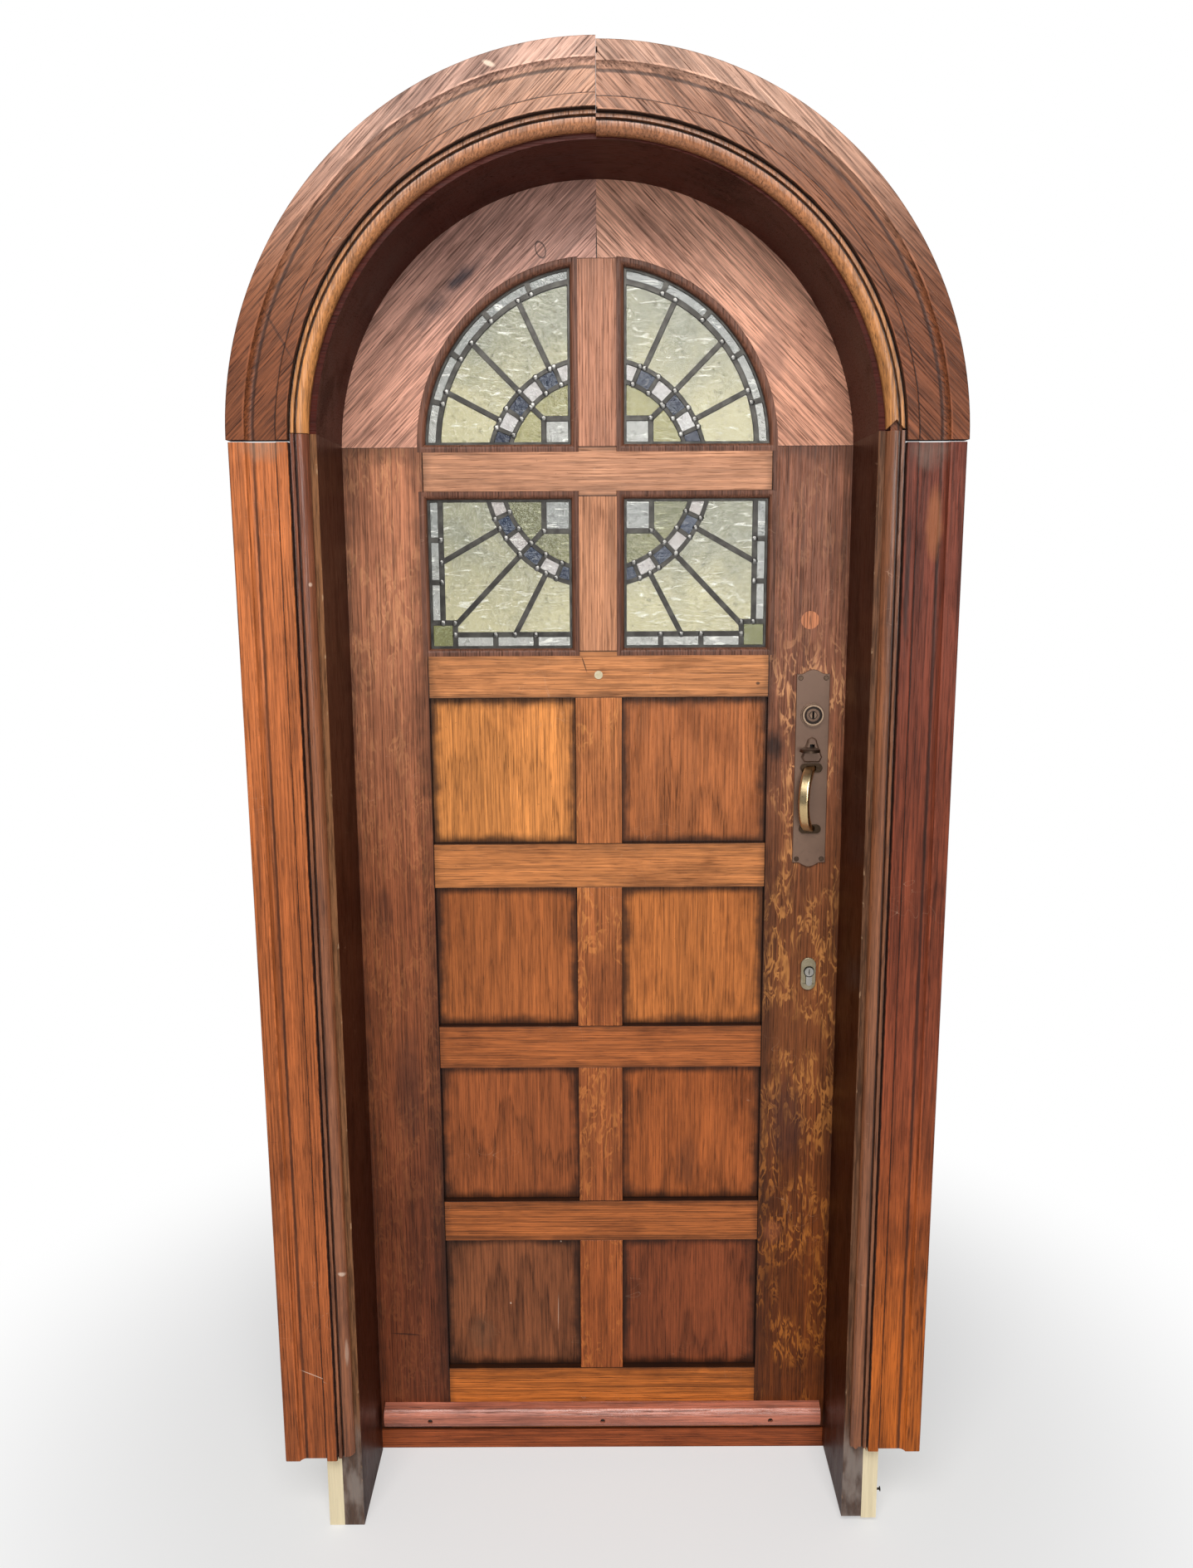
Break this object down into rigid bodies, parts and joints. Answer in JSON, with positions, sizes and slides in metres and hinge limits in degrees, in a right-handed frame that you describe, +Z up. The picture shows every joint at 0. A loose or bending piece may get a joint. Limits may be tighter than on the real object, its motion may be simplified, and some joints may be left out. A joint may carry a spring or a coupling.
{
  "type": "stained glass door",
  "caption": "Round-headed oak front door in its frame: leaded lights over flat panels, weather bar, moulded architrave and brass furniture",
  "frame": {"origin": "centre of the underside of the threshold, at floor level", "axes": "+X to the right seen from outside, +Y inwards through the wall, +Z up"},
  "size_m": [1.043, 0.2775, 2.2775],
  "materials": {
    "jamb_wood": "stained oak, dark brown, worn",
    "architrave_wood": "stained oak, red-brown open grain, weathered",
    "cove_wood": "stained oak, amber, varnished",
    "packing_wood": "pale planed softwood",
    "door_wood": "stained oak, varnished, strong grain",
    "panel_wood": "stained oak panel, varnished",
    "bead_wood": "stained hardwood bead",
    "lead_came": "dark weathered lead with soldered joints",
    "field_glass": "seedy olive-grey glass",
    "border_glass": "whitish streaky glass",
    "blue_glass": "dark blue glass",
    "white_glass": "streaky white glass",
    "plate_bronze": "brown patinated bronze, satin",
    "brass": "worn brass, polished by use",
    "bright_metal": "plated steel",
    "dark_steel": "dull dark steel"
  },
  "bodies": {
    "frame": {"left_jamb": "jamb_wood", "right_jamb": "jamb_wood", "left_head_jamb": "jamb_wood", "right_head_jamb": "jamb_wood", "threshold": "jamb_wood", "left_architrave": "architrave_wood", "right_architrave": "architrave_wood", "left_arch_architrave": "architrave_wood", "right_arch_architrave": "architrave_wood", "left_cove": "cove_wood", "right_cove": "cove_wood", "left_arch_cove": "cove_wood", "right_arch_cove": "cove_wood", "left_packing": "packing_wood", "right_packing": "packing_wood", "keep_plates": "bright_metal", "hinge_frame_flaps": "dark_steel"},
    "leaf": {"hinge_stile": "door_wood", "lock_stile": "door_wood", "left_head": "door_wood", "right_head": "door_wood", "bottom_rail": "door_wood", "low_rail": "door_wood", "middle_rail": "door_wood", "lock_rail": "door_wood", "viewer_rail": "door_wood", "transom_rail": "door_wood", "upper_light_muntin": "door_wood", "lower_light_muntin": "door_wood", "panel_muntins": "door_wood", "bottom_panels": "panel_wood", "lower_middle_panels": "panel_wood", "upper_middle_panels": "panel_wood", "top_panels": "panel_wood", "upper_light_beads": "bead_wood", "lower_light_beads": "bead_wood", "upper_light_leads": "lead_came", "lower_light_leads": "lead_came", "field_glass": "field_glass", "border_glass": "border_glass", "blue_glass": "blue_glass", "white_glass": "white_glass", "weather_bar": "cove_wood", "weather_bar_screws": "dark_steel", "wood_plug": "door_wood", "door_viewer": "brass", "handle_plate": "plate_bronze", "plate_screws": "plate_bronze", "pull_grip": "brass", "rim_cylinder": "brass", "lock_cases": "bright_metal", "inside_latch_plate": "brass", "euro_escutcheons": "brass", "euro_cylinder": "bright_metal", "hinge_door_flaps": "dark_steel"},
    "thumb_lever": {"thumbpiece": "brass"},
    "latch": {"latch_bolt": "bright_metal"},
    "upper_key_plug": {"rim_cylinder_plug": "brass"},
    "lower_key_plug": {"euro_plug": "bright_metal"},
    "dead_bolt": {"deadbolt": "bright_metal"}
  },
  "joints": [
    {"name": "door_swing", "type": "hinge", "parent": "frame", "child": "leaf", "pos_m": [-0.4105, 0.02655, 1.035], "axis": [0, 0, 1], "range_deg": [0, 110]},
    {"name": "thumb_press", "type": "hinge", "parent": "leaf", "child": "thumb_lever", "pos_m": [0.347, -0.02975, 1.29], "axis": [1, 0, 0], "range_deg": [0, 15], "stiffness_Nm_per_rad": 1, "springref_deg": -8.59},
    {"name": "latch_slide", "type": "slide", "parent": "leaf", "child": "latch", "axis": [-1, 0, 0], "range_m": [0, 0.011]},
    {"name": "upper_key_turn", "type": "hinge", "parent": "leaf", "child": "upper_key_plug", "pos_m": [0.347, -0.02475, 1.3447], "axis": [0, 1, 0], "range_deg": [0, 90]},
    {"name": "lower_key_turn", "type": "hinge", "parent": "leaf", "child": "lower_key_plug", "pos_m": [0.3525, -0.02475, 0.909], "axis": [0, 1, 0], "range_deg": [0, 360]},
    {"name": "dead_slide", "type": "slide", "parent": "leaf", "child": "dead_bolt", "axis": [1, 0, 0], "range_m": [0, 0.02]}
  ],
  "couplings": [
    {"joint": "latch_slide", "follows": "thumb_press", "m_per_rad": 0.042},
    {"joint": "lower_key_turn", "follows": "dead_slide", "rad_per_m": 314.16}
  ]
}
